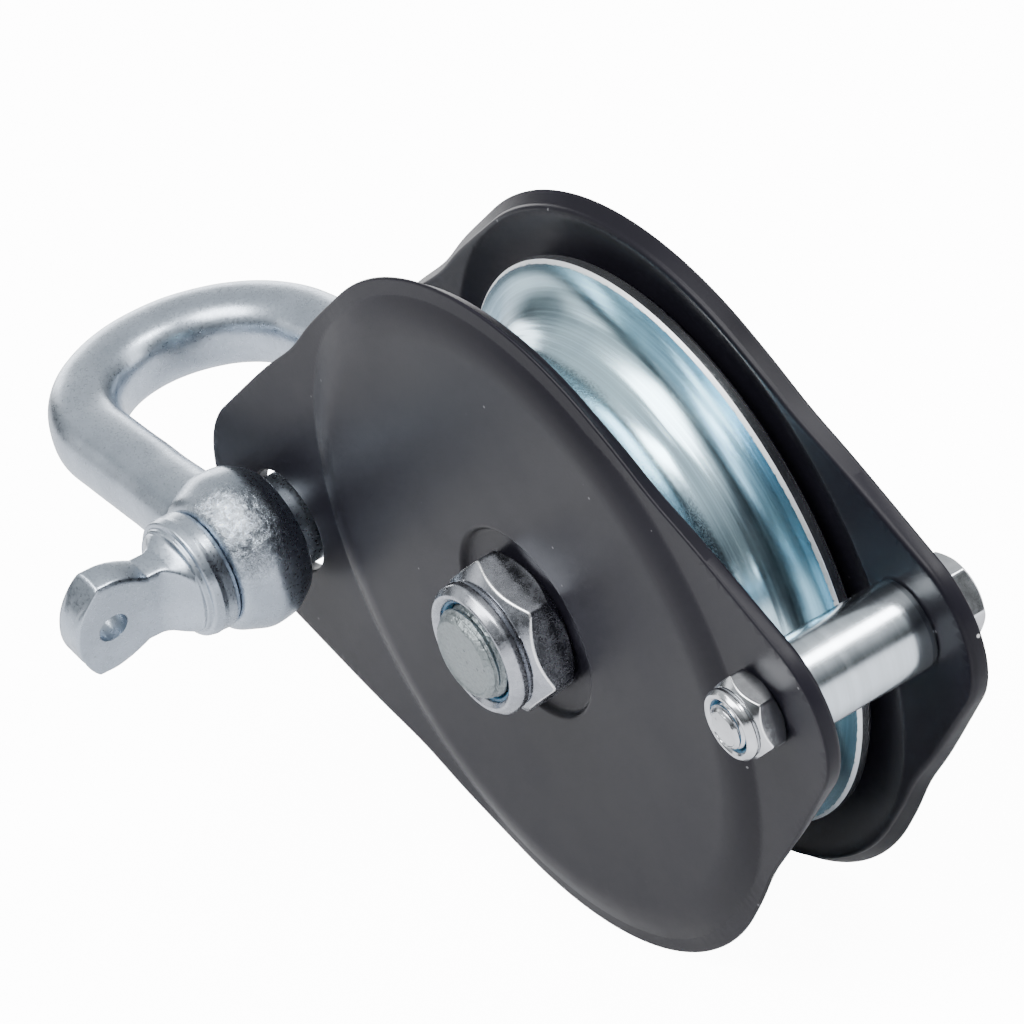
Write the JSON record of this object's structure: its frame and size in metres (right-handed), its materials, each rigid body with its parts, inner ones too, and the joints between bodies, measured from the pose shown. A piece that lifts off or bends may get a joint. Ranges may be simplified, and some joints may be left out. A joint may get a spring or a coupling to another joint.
{
  "type": "single sheave block",
  "caption": "Single sheave block with dished steel cheeks, a bow shackle on a flat-headed pin at one end and a spacer bolt at the other.",
  "frame": {"origin": "sheave centre: on the axle's axis, midway between the two cheeks", "axes": "+Y along the axle away from the nut side, -X towards the shackle, +Z square to the block's length"},
  "size_m": [0.2276, 0.0917, 0.1186],
  "materials": {
    "cheek_paint": "satin charcoal powder coat",
    "sheave_zinc": "turned and zinc plated, fine rings",
    "bush_bronze": "oil-filled bronze, smooth",
    "bearing_steel": "ground plain steel",
    "fastener_zinc": "zinc plated, satin",
    "spacer_zinc": "turned bright zinc",
    "nylon_blue": "blue nylon locking ring",
    "shackle_zinc": "forged, galvanised, slightly rough"
  },
  "bodies": {
    "block": {"near_cheek": "cheek_paint", "far_cheek": "cheek_paint", "axle_sleeve": "bearing_steel", "near_thrust_washer": "bearing_steel", "far_thrust_washer": "bearing_steel", "axle_bolt": "fastener_zinc", "axle_nut": "fastener_zinc", "axle_nut_insert": "nylon_blue", "tail_bolt": "fastener_zinc", "tail_spacer": "spacer_zinc", "tail_nut": "fastener_zinc", "tail_nut_insert": "nylon_blue"},
    "wheel": {"sheave": "sheave_zinc", "sheave_bush": "bush_bronze"},
    "shackle": {"shackle_bow": "shackle_zinc"},
    "pin": {"shackle_pin": "shackle_zinc"}
  },
  "joints": [
    {"name": "sheave_spin", "type": "hinge", "parent": "block", "child": "wheel", "pos_m": [0, 0, 0], "axis": [0, 1, 0], "continuous": true},
    {"name": "shackle_swing", "type": "hinge", "parent": "block", "child": "shackle", "pos_m": [-0.0746, -0.0006, 0], "axis": [0, 1, 0], "range_deg": [-108, 92]},
    {"name": "pin_withdraw", "type": "slide", "parent": "shackle", "child": "pin", "axis": [0, -1, 0], "range_m": [0, 0.066]}
  ]
}
